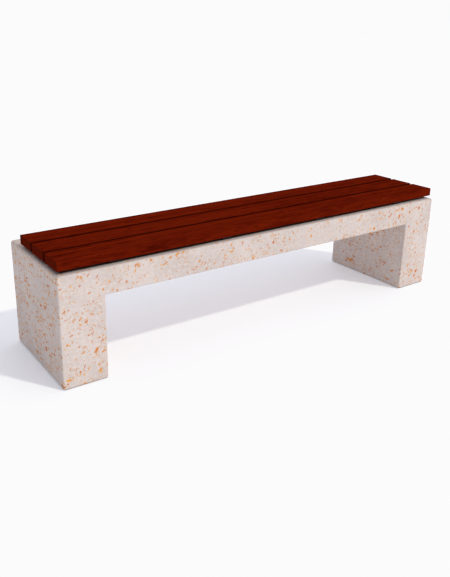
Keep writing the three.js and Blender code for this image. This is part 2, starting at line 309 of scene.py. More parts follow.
def grid_caps(bm, axes, step, low, high):
    """Cuts the end faces of a swept prism into a grid, so that they can carry relief."""
    for axis in axes:
        normal = Vector((0, 0, 0))
        normal[axis] = 1
        first = math.ceil((low[axis] + GRID_EDGE) / step)
        last = math.floor((high[axis] - GRID_EDGE) / step)
        for mark in range(first, last + 1):
            faces = [f for f in bm.faces if f.material_index == CAP_SLOT]
            edges = {e for f in faces for e in f.edges}
            verts = {v for f in faces for v in f.verts}
            place = normal * mark * step
            bmesh.ops.bisect_plane(
                bm, geom=[*faces, *edges, *verts], dist=WELD_DISTANCE, plane_co=place, plane_no=normal,
            )
    for face in bm.faces:
        face.material_index = 0


def to_object(bm, name, material, smooth_angle=SMOOTH_ANGLE):
    """Turns a bmesh into a linked object with one material and smooth rounded edges."""
    mesh = bpy.data.meshes.new(name)
    bm.to_mesh(mesh)
    bm.free()
    piece = bpy.data.objects.new(name, mesh)
    bpy.context.scene.collection.objects.link(piece)
    mesh.materials.append(material)
    for polygon in mesh.polygons:
        polygon.use_smooth = True
    mesh.set_sharp_from_angle(angle=math.radians(smooth_angle))
    return piece


def apply_modifiers(piece):
    """Gives the piece the mesh that its modifiers make, and removes them."""
    graph = bpy.context.evaluated_depsgraph_get()
    mesh = bpy.data.meshes.new_from_object(piece.evaluated_get(graph), depsgraph=graph)
    piece.modifiers.clear()
    piece.data = mesh


def weight_normals(piece):
    """Shades the flats as flat, so that only the rounded edges bend the light."""
    modifier = piece.modifiers.new("weighted", "WEIGHTED_NORMAL")
    modifier.keep_sharp = True


def cut(piece, cutters):
    """Cuts the cutters out of the piece and deletes them."""
    for cutter in cutters:
        modifier = piece.modifiers.new("cut", "BOOLEAN")
        modifier.operation = "DIFFERENCE"
        modifier.solver = "EXACT"
        modifier.object = cutter
    apply_modifiers(piece)
    for cutter in cutters:
        bpy.data.objects.remove(cutter)
    piece.data.set_sharp_from_angle(angle=math.radians(SMOOTH_ANGLE))


def turned(name, profile, sides, centre, material, smooth_angle=SMOOTH_ANGLE):
    """A body turned about a vertical axis through centre.

    profile holds (radius, height) pairs, where a radius may be a function of the angle and
    the height. It starts and ends on the axis."""
    bm = bmesh.new()
    rings = []
    for radius, height in profile[1:-1]:
        ring = []
        for k in range(sides):
            angle = 2 * math.pi * k / sides
            reach = radius(angle, height) if callable(radius) else radius
            spoke = Vector((reach * math.cos(angle), reach * math.sin(angle), height))
            ring.append(bm.verts.new(centre + spoke))
        rings.append(ring)
    join_rings(bm, rings)
    for ring, (_, height) in ((rings[0], profile[0]), (rings[-1], profile[-1])):
        pole = bm.verts.new(centre + Vector((0, 0, height)))
        for k in range(sides):
            bm.faces.new((ring[k], ring[(k + 1) % sides], pole))
    bmesh.ops.recalc_face_normals(bm, faces=bm.faces)
    return to_object(bm, name, material, smooth_angle)


def thread_radius(minor, major, pitch):
    """A radius function for a helical thread between the radii minor and major."""

    def radius(angle, height):
        phase = (height / pitch - angle / (2 * math.pi)) % 1.0
        return minor + (major - minor) * (1 - abs(2 * phase - 1))

    return radius


def declare(piece, node):
    """Puts the piece under the root body and hides the CAD node that it stands for."""
    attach(piece, "root")
    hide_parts(node)


def node_box(node):
    """The low and high corners of a CAD node's box."""
    low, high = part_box(node)
    return Vector(low), Vector(high)


def node_centre(node):
    low, high = node_box(node)
    return (low + high) / 2


# ------------------------------------------------------------ material helpers


class Graph:
    """A material's node tree, with short ways to add the nodes that the finishes use."""

    def __init__(self, name):
        self.material = bpy.data.materials.new(name)
        self.material.use_nodes = True
        self.tree = self.material.node_tree
        self.shader = self.tree.nodes["Principled BSDF"]
        coordinates = self.tree.nodes.new("ShaderNodeTexCoord")
        self.position = coordinates.outputs["Object"]
        self.normal = coordinates.outputs["Normal"]

    def put(self, socket, value):
        """Links the input to another socket, or gives it a plain value."""
        if isinstance(value, bpy.types.NodeSocket):
            self.tree.links.new(value, socket)
        elif value is not None:
            socket.default_value = value

    def set(self, **values):
        """Fills the shader's inputs, with underscores for the spaces in their names."""
        for name, value in values.items():
            self.put(self.shader.inputs[name.replace("_", " ")], value)

    def mapped(self, vector, shift, turn):
        node = self.tree.nodes.new("ShaderNodeMapping")
        self.put(node.inputs["Vector"], vector)
        node.inputs["Location"].default_value = shift
        node.inputs["Rotation"].default_value = turn
        return node.outputs["Vector"]

    def split(self, vector):
        """The three parts of a vector or colour."""
        node = self.tree.nodes.new("ShaderNodeSeparateXYZ")
        self.put(node.inputs[0], vector)
        return node.outputs

    def math(self, operation, a, b=None):
        node = self.tree.nodes.new("ShaderNodeMath")
        node.operation = operation
        self.put(node.inputs[0], a)
        self.put(node.inputs[1], b)
        return node.outputs[0]

    def vector(self, operation, a, b):
        node = self.tree.nodes.new("ShaderNodeVectorMath")
        node.operation = operation
        self.put(node.inputs[0], a)
        socket = node.inputs["Scale"] if operation == "SCALE" else node.inputs[1]
        self.put(socket, b)
        return node.outputs["Vector"]

    def shifted(self, shift):
        """The position moved by shift, so that a pattern doesn't repeat another one."""
        return self.vector("ADD", self.position, shift)

    def noise_node(self, scale, detail, roughness=0.5, vector=None, distortion=0.0):
        """A noise texture. scale is counted per metre."""
        node = self.tree.nodes.new("ShaderNodeTexNoise")
        self.put(node.inputs["Vector"], vector or self.position)
        self.put(node.inputs["Scale"], scale)
        self.put(node.inputs["Detail"], detail)
        self.put(node.inputs["Roughness"], roughness)
        self.put(node.inputs["Distortion"], distortion)
        return node

    def noise(self, **settings):
        """A noise value, mostly between 0.3 and 0.7."""
        return self.noise_node(**settings).outputs["Fac"]

    def drift(self, reach, **settings):
        """A noise vector about zero, which reaches half of reach each way along each axis."""
        colour = self.noise_node(**settings).outputs["Color"]
        return self.vector("SCALE", self.vector("SUBTRACT", colour, (0.5, 0.5, 0.5)), reach)

    def cells(self, scale, vector):
        node = self.tree.nodes.new("ShaderNodeTexVoronoi")
        self.put(node.inputs["Vector"], vector)
        self.put(node.inputs["Scale"], scale)
        return node.outputs

    def span(self, value, low, high, to_low=0.0, to_high=1.0, smooth=True):
        """The value's place between low and high, carried over to to_low and to_high."""
        node = self.tree.nodes.new("ShaderNodeMapRange")
        node.interpolation_type = "SMOOTHSTEP" if smooth else "LINEAR"
        names = ("Value", "From Min", "From Max", "To Min", "To Max")
        for name, number in zip(names, (value, low, high, to_low, to_high)):
            self.put(node.inputs[name], number)
        return node.outputs["Result"]

    def mix(self, factor, a, b):
        node = self.tree.nodes.new("ShaderNodeMix")
        node.data_type = "RGBA"
        self.put(node.inputs["Factor"], factor)
        self.put(node.inputs[6], a)
        self.put(node.inputs[7], b)
        return node.outputs[2]

    def bump(self, height, strength, distance, normal=None):
        node = self.tree.nodes.new("ShaderNodeBump")
        self.put(node.inputs["Height"], height)
        self.put(node.inputs["Strength"], strength)
        self.put(node.inputs["Distance"], distance)
        self.put(node.inputs["Normal"], normal)
        return node.outputs["Normal"]


def rgb(red, green, blue):
    """A shader colour from sRGB values of 0 to 255."""
    linear = [((c / 255 + 0.055) / 1.055) ** 2.4 if c > 10 else c / 255 / 12.92 for c in (red, green, blue)]
    return (*linear, 1.0)


# -------------------------------------------------------------------- concrete

CONCRETE_SHADE = rgb(192, 179, 173)
CONCRETE_GROUND = rgb(206, 193, 187)
CONCRETE_PALE = rgb(221, 211, 206)
CONCRETE_BLUSH = rgb(210, 184, 164)
PORE_DARK = rgb(104, 84, 76)
VEIN = rgb(204, 150, 112)
BLUSH_SHIFT = (4, 2, 1)
VEIN_SHIFT = (9, 4, 2)
PORE_SHIFT = (3, 5, 7)
CONCRETE_RELIEF = 1.2 * MM

# Grains: spacing of the sites, share of sites that hold a grain, half-width as a share of
# the spacing, strength of the colour, turn and stretch, and the darkest and lightest colour
Grain = namedtuple("Grain", "spacing share reach strength turn stretch dark light")
GRAINS = (
    Grain(7 * MM, 0.26, 0.60, 0.82, -0.6, (1.0, 0.65, 0.75), rgb(198, 122, 50), rgb(220, 168, 94)),
    Grain(11 * MM, 0.135, 0.59, 0.9, -0.8, (1.25, 0.6, 0.65), rgb(192, 102, 20), rgb(222, 152, 54)),
    Grain(23 * MM, 0.105, 0.42, 0.9, -0.5, (1.2, 0.55, 0.75), rgb(194, 104, 18), rgb(222, 152, 48)),
    Grain(60 * MM, 0.05, 0.20, 0.85, 0.6, (1.1, 0.5, 0.8), rgb(206, 120, 28), rgb(224, 158, 54)),
)
GRAIN_DARK = rgb(164, 86, 18)
# The bend and shift are in spacings, and the edge is where the ragged distance ends a grain
GRAIN_BEND = 1.5
GRAIN_SHIFT = (31, 7)
SMALLEST_GRAIN = 0.45
RAGGEDNESS = 2.2
GRAIN_EDGE = (2.1, 1.75)

# Grains crowd along winding lines, and their share falls from CROWDED to SPARSE beside these
CLUSTER_SHIFT = (8.3, 0.6, 4.7)
CLUSTER_WIDTH = 0.11
CROWDED = 1.9
SPARSE = 0.35

# The slab holds fewer grains than the legs, and the end faces more and larger ones. A point
# is on an end face when its X times its normal's X is past END_FACE_OUTWARD.
SLAB_HEIGHTS = (0.26, 0.38)
SLAB_SHARE = 0.9
END_FACE_OUTWARD = (0.6, 0.9)
END_FACE_SHARE = 1.1
END_FACE_REACH = 1.14

# Painted shade on the concrete's top, along its foot and under the slats: the insets are from the slats'
# outline and the depths from the body's top
LEDGE_PAINTED_SHADE = rgb(176, 164, 160)
LEDGE_DEPTHS = (6 * MM, -1 * MM)
FOOT_PAINTED_SHADOW = rgb(104, 94, 90)
FOOT_HEIGHT = 5 * MM
UNDER_SLAT_PAINTED_SHADE = rgb(84, 76, 70)
SHELTER_INSETS = (13 * MM, 20 * MM)
SHELTER_END_INSETS = (12 * MM, 24 * MM)
SHELTER_DEPTHS = (3 * MM, 1 * MM)
PAINTED_SHADE_RAGGEDNESS = 3 * MM


def concrete_ground(g, fine):
    """The cloudy cement between the grains, with fine pale specks and warm patches."""
    cloud = g.noise(scale=7, detail=5, roughness=0.62)
    colour = g.mix(g.span(cloud, 0.3, 0.7), CONCRETE_SHADE, CONCRETE_GROUND)
    mottle = g.noise(scale=75, detail=4, roughness=0.65)
    colour = g.mix(g.span(mottle, 0.45, 0.7, 0, 0.5), colour, CONCRETE_PALE)
    colour = g.mix(g.span(fine, 0.4, 0.75, 0, 0.35), colour, CONCRETE_PALE)
    blush = g.noise(scale=40, detail=4, roughness=0.7, vector=g.shifted(BLUSH_SHIFT), distortion=1.0)
    return g.mix(g.span(blush, 0.52, 0.75, 0, 0.4), colour, CONCRETE_BLUSH)


def grain_share(g, site, exposed, share):
    """How likely a site is to hold a grain."""
    line = g.noise(scale=11, detail=2, vector=g.vector("ADD", site, CLUSTER_SHIFT))
    off_line = g.math("ABSOLUTE", g.math("SUBTRACT", line, 0.5))
    crowding = g.span(off_line, 0.0, CLUSTER_WIDTH, CROWDED, SPARSE)
    by_height = g.span(g.split(g.position)[2], *SLAB_HEIGHTS, share, SLAB_SHARE * share)
    by_face = g.span(exposed, 0, 1, 1, END_FACE_SHARE)
    return g.math("MULTIPLY", g.math("MULTIPLY", crowding, by_height), by_face)


def stone_grains(g, exposed, grain):
    """Ragged grains of one kind: (how far a point is inside one, that one's random value)."""
    spacing = grain.spacing
    bend = g.drift(GRAIN_BEND * spacing, scale=0.55 / spacing, detail=2)
    shift = (GRAIN_SHIFT[0] * spacing, GRAIN_SHIFT[1] * spacing, 0)
    turned_place = g.mapped(g.vector("ADD", g.position, bend), shift, (-grain.turn / 4, grain.turn, 0))
    place = g.vector("MULTIPLY", turned_place, grain.stretch)
    sites = g.cells(1 / spacing, place)
    chance, size, hue = g.split(sites["Color"])
    chosen = g.math("LESS_THAN", chance, grain_share(g, sites["Position"], exposed, grain.share))
    radius = g.span(size, 0, 1, SMALLEST_GRAIN * grain.reach, grain.reach, False)
    radius = g.math("MULTIPLY", radius, g.span(exposed, 0, 1, 1, END_FACE_REACH))
    ragged = g.noise(scale=1.8 / spacing + 70, detail=3, roughness=0.6, vector=place)
    edge = g.math("ADD", g.math("DIVIDE", sites["Distance"], radius), g.math("MULTIPLY", ragged, RAGGEDNESS))
    return g.math("MULTIPLY", g.span(edge, *GRAIN_EDGE), chosen), hue


def speckled(g, colour):
    """Beds the grains in the colour: (the new colour, how far a point is inside a grain)."""
    outward = g.math("MULTIPLY", g.split(g.normal)[0], g.split(g.position)[0])
    exposed = g.span(outward, *END_FACE_OUTWARD)
    grains = 0.0
    for grain in GRAINS:
        inside, pick = stone_grains(g, exposed, grain)
        hue = g.mix(pick, grain.dark, grain.light)
        bits = g.noise(scale=2.6 / grain.spacing, detail=2, roughness=0.6)
        hue = g.mix(g.span(bits, 0.52, 0.64, 0, 0.5), hue, GRAIN_DARK)
        colour = g.mix(g.math("MULTIPLY", inside, grain.strength), colour, hue)
        grains = g.math("MAXIMUM", grains, inside)
    return colour, grains


def veined(g, colour):
    """Adds thin rusty lines that run here and there between the grains."""
    wander = g.noise(scale=24, detail=2, vector=g.shifted(VEIN_SHIFT))
    line = g.span(g.math("ABSOLUTE", g.math("SUBTRACT", wander, 0.5)), 0.003, 0.012, 1, 0)
    where = g.span(g.noise(scale=17, detail=3, roughness=0.6), 0.53, 0.62, 0, 0.6)
    return g.mix(g.math("MULTIPLY", line, where), colour, VEIN)


def painted_shade(g, colour, fine):
    """Painted shade on the concrete: a darker top, a dark line along the foot and darker concrete under the
    slats.
    """
    x, y, z = g.split(g.position)
    top = node_box("concrete_body")[1].z
    start, full = LEDGE_DEPTHS
    # Painted shade: the body's top and the upper edge of its sides are darkened, standing in for the shade
    # beside and under the slats.
    ragged_z = g.math("ADD", z, g.math("MULTIPLY", fine, PAINTED_SHADE_RAGGEDNESS))
    colour = g.mix(g.span(ragged_z, top - start, top - full, 0, 0.55), colour, LEDGE_PAINTED_SHADE)
    # Painted shadow: a dark band along the foot stands in for the contact shadow where the body meets the
    # floor.
    ragged_z = g.math("ADD", z, g.math("MULTIPLY", fine, -PAINTED_SHADE_RAGGEDNESS))
    colour = g.mix(g.span(ragged_z, FOOT_HEIGHT, 0.0, 0, 0.9), colour, FOOT_PAINTED_SHADOW)

    # Painted shade: the concrete top under the slats is darkened, standing in for the shade in the gap
    # beneath them.
    front = node_box("slat_front")[0].y
    end, rear, _ = node_box("slat_rear")[1]
    start, full = SHELTER_INSETS
    across = g.math(
        "MULTIPLY", g.span(y, front + start, front + full), g.span(y, rear - start, rear - full),
    )
    start, full = SHELTER_END_INSETS
    along = g.span(g.math("ABSOLUTE", x), end - start, end - full)
    start, full = SHELTER_DEPTHS
    sheltered = g.math("MULTIPLY", g.math("MULTIPLY", across, along), g.span(z, top - start, top - full))
    return g.mix(g.math("MULTIPLY", sheltered, 0.97), colour, UNDER_SLAT_PAINTED_SHADE)


def concrete_material():
    """Honed pale concrete: a cloudy warm ground with rust and ochre grains in it."""
    g = Graph("speckled_concrete")
    fine = g.noise(scale=260, detail=3, roughness=0.7)
    colour, grains = speckled(g, concrete_ground(g, fine))
    colour = veined(g, colour)
    pore = g.span(g.noise(scale=330, detail=1, vector=g.shifted(PORE_SHIFT)), 0.79, 0.83)
    colour = g.mix(g.math("MULTIPLY", pore, 0.6), colour, PORE_DARK)
    skin = g.bump(fine, 0.12, CONCRETE_RELIEF)
    g.set(
        # The base colour carries painted shade: a darker top, a dark line along the foot and darker concrete
        # under the slats.
        Base_Color=painted_shade(g, colour, fine),
        Roughness=g.span(fine, 0.3, 0.7, 0.62, 0.8),
        Specular_IOR_Level=0.2,
        Normal=g.bump(g.math("ADD", grains, pore), -0.25, CONCRETE_RELIEF, skin),
    )
    return g.material


# ------------------------------------------------------------------------ wood

WOOD_BLACK = rgb(36, 5, 2)
WOOD_DARK = rgb(60, 9, 3)
WOOD_DEEP = rgb(76, 13, 3)
WOOD_MIDDLE = rgb(92, 19, 4)
WOOD_BRIGHT = rgb(108, 27, 6)
WOOD_END = rgb(80, 24, 12)

# Growth rings: the heart of each slat's log lies at HEART_HEIGHT, HEART_STEP further to the
# front from slat to slat
HEART_HEIGHT = 0.36
HEART_STEP = 0.05
RINGS_PER_METRE = 95
RING_DRIFT = 0.10
LATE_WOOD = (0.35, 0.95)

# Patterns are drawn out along the board by these stretches
LONG_FIBRES = (0.045, 1.0, 1.0)
SHORT_FIBRES = (0.16, 1.0, 1.0)
END_BAND = (3 * MM, 1 * MM)
# FLANK_BAND is the width of the painted shade on the slat's sides that face a gap or the ledge
FLANK_BAND = (4 * MM, 1 * MM)
FIBRE_RELIEF = 0.6 * MM


def late_wood(g, y, z, seed):
    """Where the dark part of a growth ring meets the surface."""
    drift = g.drift(RING_DRIFT, scale=1.6, detail=3, vector=g.shifted((seed * 3.7, seed, 0)))
    _, drift_y, drift_z = g.split(drift)
    ring_y = g.math("ADD", g.math("ADD", y, seed * HEART_STEP), drift_y)
    ring_z = g.math("ADD", g.math("SUBTRACT", z, HEART_HEIGHT), drift_z)
    squares = g.math("ADD", g.math("MULTIPLY", ring_y, ring_y), g.math("MULTIPLY", ring_z, ring_z))
    rings = g.math("FRACT", g.math("MULTIPLY", g.math("SQRT", squares), RINGS_PER_METRE))
    start, full = LATE_WOOD
    return g.math("MULTIPLY", g.span(rings, start, full), g.span(rings, 1.0, full))


def painted_flank_shade(g, name, y, low, high):
    """Painted shade on the slat's sides that face a gap or the ledge, which is each one but the bench's
    front.
    """
    start, full = FLANK_BAND
    rear = g.span(y, high.y - start, high.y - full)
    if name == "front":
        return rear
    return g.math("MAXIMUM", g.span(y, low.y + start, low.y + full), rear)


def wood_material(name, seed):
    """Mahogany-red stained hardwood, sawn so that the rings run out along the face, with painted shade on
    the sides that face a gap or the ledge.
    """
    g = Graph(f"stained_wood_{name}")
    low, high = node_box(f"slat_{name}")
    x, y, z = g.split(g.position)
    late = late_wood(g, y, z, seed)
    place = g.shifted((seed * 5.1, 0, 0))
    stretched = g.vector("MULTIPLY", place, LONG_FIBRES)
    short = g.vector("MULTIPLY", place, SHORT_FIBRES)
    fibre = g.noise(scale=420, detail=4, roughness=0.65, vector=stretched)
    streak = g.noise(scale=58, detail=3, roughness=0.55, vector=stretched)
    band = g.noise(scale=26, detail=2, vector=stretched)
    blotch = g.noise(scale=70, detail=4, roughness=0.65, vector=short)
    fleck = g.noise(scale=150, detail=2, vector=short)
    patch = g.noise(scale=7, detail=3, vector=g.shifted((seed * 2.3, 0, 0)))

    colour = g.mix(g.span(streak, 0.36, 0.64), WOOD_DEEP, WOOD_MIDDLE)
    colour = g.mix(g.span(blotch, 0.42, 0.64, 0, 0.6), colour, WOOD_BRIGHT)
    colour = g.mix(g.span(blotch, 0.5, 0.34, 0, 0.35), colour, WOOD_DARK)
    colour = g.mix(g.span(band, 0.42, 0.60, 0, 0.5), colour, WOOD_BRIGHT)
    colour = g.mix(g.math("MULTIPLY", late, 0.25), colour, WOOD_DARK)
    colour = g.mix(g.span(fibre, 0.5, 0.8, 0, 0.4), colour, WOOD_DARK)
    colour = g.mix(g.span(fleck, 0.60, 0.70, 0, 0.7), colour, WOOD_BLACK)
    colour = g.mix(g.span(patch, 0.5, 0.75, 0, 0.4), colour, WOOD_BRIGHT)
    start, full = END_BAND
    end = g.span(g.math("ABSOLUTE", x), high.x - start, high.x - full)
    colour = g.mix(end, colour, g.mix(g.span(blotch, 0.35, 0.65), WOOD_END, WOOD_MIDDLE))
    # Painted shade: the sides that face a gap or the ledge are darkened towards black.
    flank = g.math("MULTIPLY", painted_flank_shade(g, name, y, low, high), 0.65)
    grooves = g.math("ADD", fibre, g.math("MULTIPLY", late, -0.4))
    g.set(
        Base_Color=g.mix(flank, colour, WOOD_BLACK),
        Roughness=g.span(fibre, 0.3, 0.7, 0.5, 0.68),
        Specular_IOR_Level=0.0,
        Normal=g.bump(grooves, 0.25, FIBRE_RELIEF),
    )
    return g.material


# ------------------------------------------------- steel, rubber and plastic

COATING = rgb(14, 14, 14)
COATING_DUST = rgb(40, 37, 34)
RUBBER = rgb(20, 20, 21)
RUBBER_DUST = rgb(66, 63, 60)
MILL_STEEL = rgb(74, 66, 62)
RUST = rgb(128, 70, 38)
RUST_BRIGHT = rgb(158, 96, 52)
PLASTIC = rgb(104, 107, 109)
CEMENT_HAZE = rgb(168, 163, 158)
STAINLESS_BOLT = (rgb(194, 194, 196), rgb(156, 154, 150))
STAINLESS_SCREW = (rgb(186, 186, 188), rgb(148, 146, 142))
BOLT_TURNING = 900
SCREW_TURNING = 1500
FINE_RELIEF = 0.2 * MM
COARSE_RELIEF = 0.5 * MM


def coated_steel_material():
    """Black powder coat, slightly dusty, with a faint orange-peel surface."""
    g = Graph("black_powder_coat")
    dust = g.noise(scale=55, detail=4, roughness=0.6)
    peel = g.noise(scale=900, detail=1, roughness=0.4)
    g.set(
        Base_Color=g.mix(g.span(dust, 0.5, 0.8, 0, 0.4), COATING, COATING_DUST),
        Roughness=g.span(dust, 0.3, 0.7, 0.5, 0.68),
        Specular_IOR_Level=0.25,
        Normal=g.bump(peel, 0.2, FINE_RELIEF),
    )
    return g.material


def steel_material(name, colours, turning):
    """Stainless steel with slight staining and fine marks, of which a metre holds turning."""
    g = Graph(name)
    stain = g.noise(scale=120, detail=4, roughness=0.6)
    marks = g.noise(scale=turning, detail=2, vector=g.vector("MULTIPLY", g.position, (1, 1, 8)))
    g.set(
        Base_Color=g.mix(g.span(stain, 0.4, 0.75), *colours),
        Roughness=g.span(marks, 0.3, 0.7, 0.22, 0.42),
        Metallic=1.0,
        Normal=g.bump(marks, 0.08, FINE_RELIEF),
    )
    return g.material


def rubber_material():
    """Matt black sheet rubber with a fine cloth-like tooth and some dust."""
    g = Graph("pad_rubber")
    tooth = g.noise(scale=1400, detail=2)
    dust = g.noise(scale=40, detail=4, roughness=0.65)
    g.set(
        Base_Color=g.mix(g.span(dust, 0.45, 0.8, 0, 0.6), RUBBER, RUBBER_DUST),
        Roughness=g.span(dust, 0.3, 0.7, 0.8, 0.95),
        Normal=g.bump(tooth, 0.3, FINE_RELIEF),
    )
    return g.material


def rust_material():
    """Mill steel that has rusted lightly before the pour."""
    g = Graph("rusted_rebar")
    scale = g.noise(scale=90, detail=5, roughness=0.65)
    grit = g.noise(scale=700, detail=3, roughness=0.6)
    colour = g.mix(g.span(scale, 0.35, 0.65), MILL_STEEL, RUST)
    g.set(
        Base_Color=g.mix(g.span(grit, 0.5, 0.8, 0, 0.5), colour, RUST_BRIGHT),
        Roughness=g.span(scale, 0.3, 0.7, 0.6, 0.95),
        Metallic=0.35,
        Normal=g.bump(grit, 0.5, COARSE_RELIEF),
    )
    return g.material


def plastic_material():
    """Grey moulded plastic with a light cement haze."""
    g = Graph("spacer_plastic")
    haze = g.noise(scale=150, detail=4, roughness=0.6)
    g.set(
        Base_Color=g.mix(g.span(haze, 0.4, 0.75, 0, 0.7), PLASTIC, CEMENT_HAZE),
        Roughness=g.span(haze, 0.3, 0.7, 0.5, 0.75),
        Normal=g.bump(haze, 0.15, COARSE_RELIEF),
    )
    return g.material


# --------------------------------------------------------------- concrete body


def relief(position, normal):
    """How far a point of the concrete lies inside the ideal surface, in metres."""
    wave = CASTING_DEPTH * (1 + noise.noise(position * CASTING_WAVE))
    axis_share = max(abs(normal.x), abs(normal.y), abs(normal.z))
    arris = min(1.0, (1 - axis_share) / ARRIS_SHARE)
    wear = WEAR_DEPTH * max(0.0, noise.noise(position * WEAR_WAVE + WEAR_SHIFT))
    dent = noise.noise(position * CHIP_WAVE + CHIP_SHIFT)
    chip = CHIP_DEPTH * max(0.0, dent - CHIP_START) / CHIP_RANGE
    return wave + arris * (wear + chip)


def body_corners(low, high):
    """The body's outline in X and Z, as (point, radius) pairs from the left foot round."""
    inner = high.x - LEG_LENGTH
    underside = high.z - SLAB_THICKNESS
    return [
        (Vector((low.x, low.z)), FOOT_CORNER_RADIUS),
        (Vector((-inner, low.z)), FOOT_CORNER_RADIUS),
        (Vector((-inner, underside)), INNER_CORNER_RADIUS),
        (Vector((inner, underside)), INNER_CORNER_RADIUS),
        (Vector((inner, low.z)), FOOT_CORNER_RADIUS),
        (Vector((high.x, low.z)), FOOT_CORNER_RADIUS),
        (Vector((high.x, high.z)), TOP_CORNER_RADIUS),
        (Vector((low.x, high.z)), TOP_CORNER_RADIUS),
    ]


def counterbore_cutter(washer, underside, material):
    """Cuts the wide hole for a washer, which flares at the slab's underside."""
    centre = node_centre(washer)
    ceiling = node_box(washer)[1].z + WASHER_HEADROOM
    profile = [
        (0, underside - CUT_PAST), (COUNTERBORE_RADIUS + RIM_FLARE + CUT_PAST, underside - CUT_PAST),
        (COUNTERBORE_RADIUS + RIM_LIP, underside + RIM_LIP_HEIGHT),
        (COUNTERBORE_RADIUS, underside + RIM_FLARE), (COUNTERBORE_RADIUS, ceiling - COUNTERBORE_ROUND),
        (COUNTERBORE_RADIUS - COUNTERBORE_ROUND, ceiling), (0, ceiling),
    ]
    return turned("cutter", profile, COUNTERBORE_SIDES, Vector((centre.x, centre.y, 0)), material)


def spacer_cutter(spacer_node, underside, material):
    """Cuts the hole in which a spacer sits."""
    low, high = node_box(spacer_node)
    centre = (low + high) / 2
    reach = (high.x - low.x) / 2 + SPACER_CLEARANCE
    profile = [
        (0, underside - CUT_PAST), (reach + RIM_LIP, underside - CUT_PAST),
        (reach, underside + RIM_LIP_HEIGHT), (reach, high.z), (0, high.z),
    ]
    return turned("cutter", profile, SPACER_SIDES, Vector((centre.x, centre.y, 0)), material)


def concrete_body(material):
    low, high = node_box("concrete_body")
    outline = outline_points(body_corners(low, high), BODY_GRID)
    stops = stations(low.y, high.y, FACE_ARRIS, BODY_GRID)
    bm = swept(outline, stops, lambda a, b, position: (a, position, b))
    grid_caps(bm, (0, 2), BODY_GRID, low, high)
    bm.normal_update()
    moves = [(v, v.normal * -relief(v.co, v.normal)) for v in bm.verts]
    for vert, move in moves:
        if vert.co.z > low.z + FOOT_FLAT:
            vert.co += move
    body = to_object(bm, "concrete_body_cast", material)

    underside = high.z - SLAB_THICKNESS
    washers = [f"washer_{bar}_{row}" for bar in BARS for row in ROWS]
    cutters = [counterbore_cutter(node, underside, material) for node in washers]
    cutters += [spacer_cutter(f"rebar_spacer_{n}", underside, material) for n in SPACERS]
    cut(body, cutters)
    weight_normals(body)
    declare(body, "concrete_body")


# ---------------------------------------------------------- slats, bars, pads


def rectangle(low_a, low_b, high_a, high_b, radius):
    """A rectangle's corners as (point, radius) pairs."""
    points = ((low_a, low_b), (high_a, low_b), (high_a, high_b), (low_a, high_b))
    return [(Vector(point), radius) for point in points]


def board_wave(point, wave, offset):
    """Noise at a point of a slat, with wave bumps per metre along each axis."""
    return noise.noise(Vector([p * w for p, w in zip(point, wave)]) + offset)


def slat(name, seed):
    low, high = node_box(f"slat_{name}")
    corners = rectangle(low.y, low.z, high.y, high.z, SLAT_CORNER_RADIUS)
    outline = outline_points(corners, SLAT_GRID, SLAT_CORNER_STEPS)
    stops = stations(low.x, high.x, SLAT_END_ARRIS, SLAT_GRID, SLAT_END_STEPS)
    bm = swept(outline, stops, lambda a, b, position: (position, a, b))
    grid_caps(bm, (1, 2), SLAT_GRID, low, high)
    bm.normal_update()
    offset = Vector((seed * BOARD_SHIFT[0], seed * BOARD_SHIFT[1], 0))
    moves = []
    for vert in bm.verts:
        long_wave = LONG_WAVE_DEPTH * (1 + board_wave(vert.co, LONG_WAVE, offset))
        tool_wave = TOOL_WAVE_DEPTH * board_wave(vert.co, TOOL_WAVE, offset)
        moves.append(vert.normal * -(long_wave + tool_wave))
    for vert, move in zip(bm.verts, moves):
        vert.co += move
    board = to_object(bm, f"slat_{name}_board", wood_material(name, seed))
    weight_normals(board)
    declare(board, f"slat_{name}")


def bolt_hole_cutter(bar, row, material):
    centre = node_centre(f"bolt_{bar}_{row}")
    centre.z = node_centre(f"cross_bar_{bar}").z
    reach = BOLT_RADIUS + BOLT_CLEARANCE
    profile = [(0, -BAR_CUT_REACH), (reach, -BAR_CUT_REACH), (reach, BAR_CUT_REACH), (0, BAR_CUT_REACH)]
    return turned("cutter", profile, BOLT_HOLE_SIDES, centre, material)


def screw_hole_cutter(bar, name, side, material):
    centre = node_centre(f"screw_{bar}_{name}_{side}")
    centre.z = node_box(f"cross_bar_{bar}")[0].z
    head = SCREW_HEAD_RADIUS + SCREW_HEAD_CLEARANCE
    shank = SCREW_RADIUS + SCREW_CLEARANCE
    profile = [
        (0, -BAR_CUT_PAST), (head, -BAR_CUT_PAST), (head, SCREW_HEAD_CLEARANCE),
        (shank, SCREW_HEAD_HEIGHT + SCREW_HEAD_CLEARANCE), (shank, BAR_CUT_DEPTH), (0, BAR_CUT_DEPTH),
    ]
    return turned("cutter", profile, SCREW_HOLE_SIDES, centre, material)


def cross_bar(bar, material):
    """A flat bar with its holes. Its cut ends have a slot of their own for the same finish."""
    low, high = node_box(f"cross_bar_{bar}")
    corners = rectangle(low.x, low.z, high.x, high.z, BAR_CORNER_RADIUS)
    outline = outline_points(corners, BAR_GRID, BAR_CORNER_STEPS)
    stops = stations(low.y, high.y, BAR_END_ARRIS, BAR_GRID, BAR_END_STEPS)
    bm = swept(outline, stops, lambda a, b, position: (a, position, b))
    piece = to_object(bm, f"cross_bar_{bar}_coated", material)
    piece.data.materials.append(material)
    cutters = [bolt_hole_cutter(bar, row, material) for row in ROWS]
    cutters += [screw_hole_cutter(bar, name, side, material) for name in SLATS for side in SIDES]
    cut(piece, cutters)
    weight_normals(piece)
    declare(piece, f"cross_bar_{bar}")


